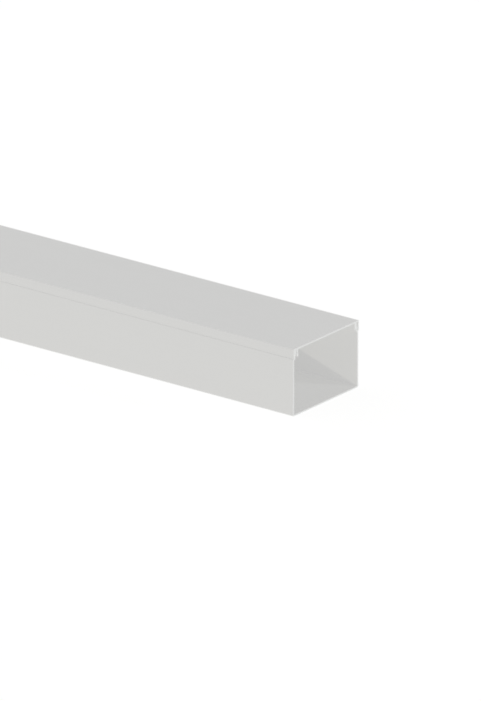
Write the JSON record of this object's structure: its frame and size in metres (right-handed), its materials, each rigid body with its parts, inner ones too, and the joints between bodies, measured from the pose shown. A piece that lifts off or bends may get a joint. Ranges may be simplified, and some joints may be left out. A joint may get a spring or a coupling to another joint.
{
  "type": "cable trunking",
  "caption": "Straight rectangular plastic cable trunking: a U-shaped base channel that screws to a wall and a cover that clips on to close it over the cords.",
  "frame": {"origin": "middle of the back face, which lies on the wall or floor", "axes": "+X along the length, +Y across the width, +Z out of the wall, from the back of the base to the face of the cover"},
  "size_m": [2.001, 0.06, 0.04],
  "materials": {
    "base_pvc": "satin light grey rigid PVC, as extruded, sawn at the ends",
    "cover_pvc": "satin light grey rigid PVC, as extruded, sawn at the ends"
  },
  "bodies": {
    "root": {"base_channel": "base_pvc", "snap_cover": "cover_pvc"}
  },
  "joints": []
}
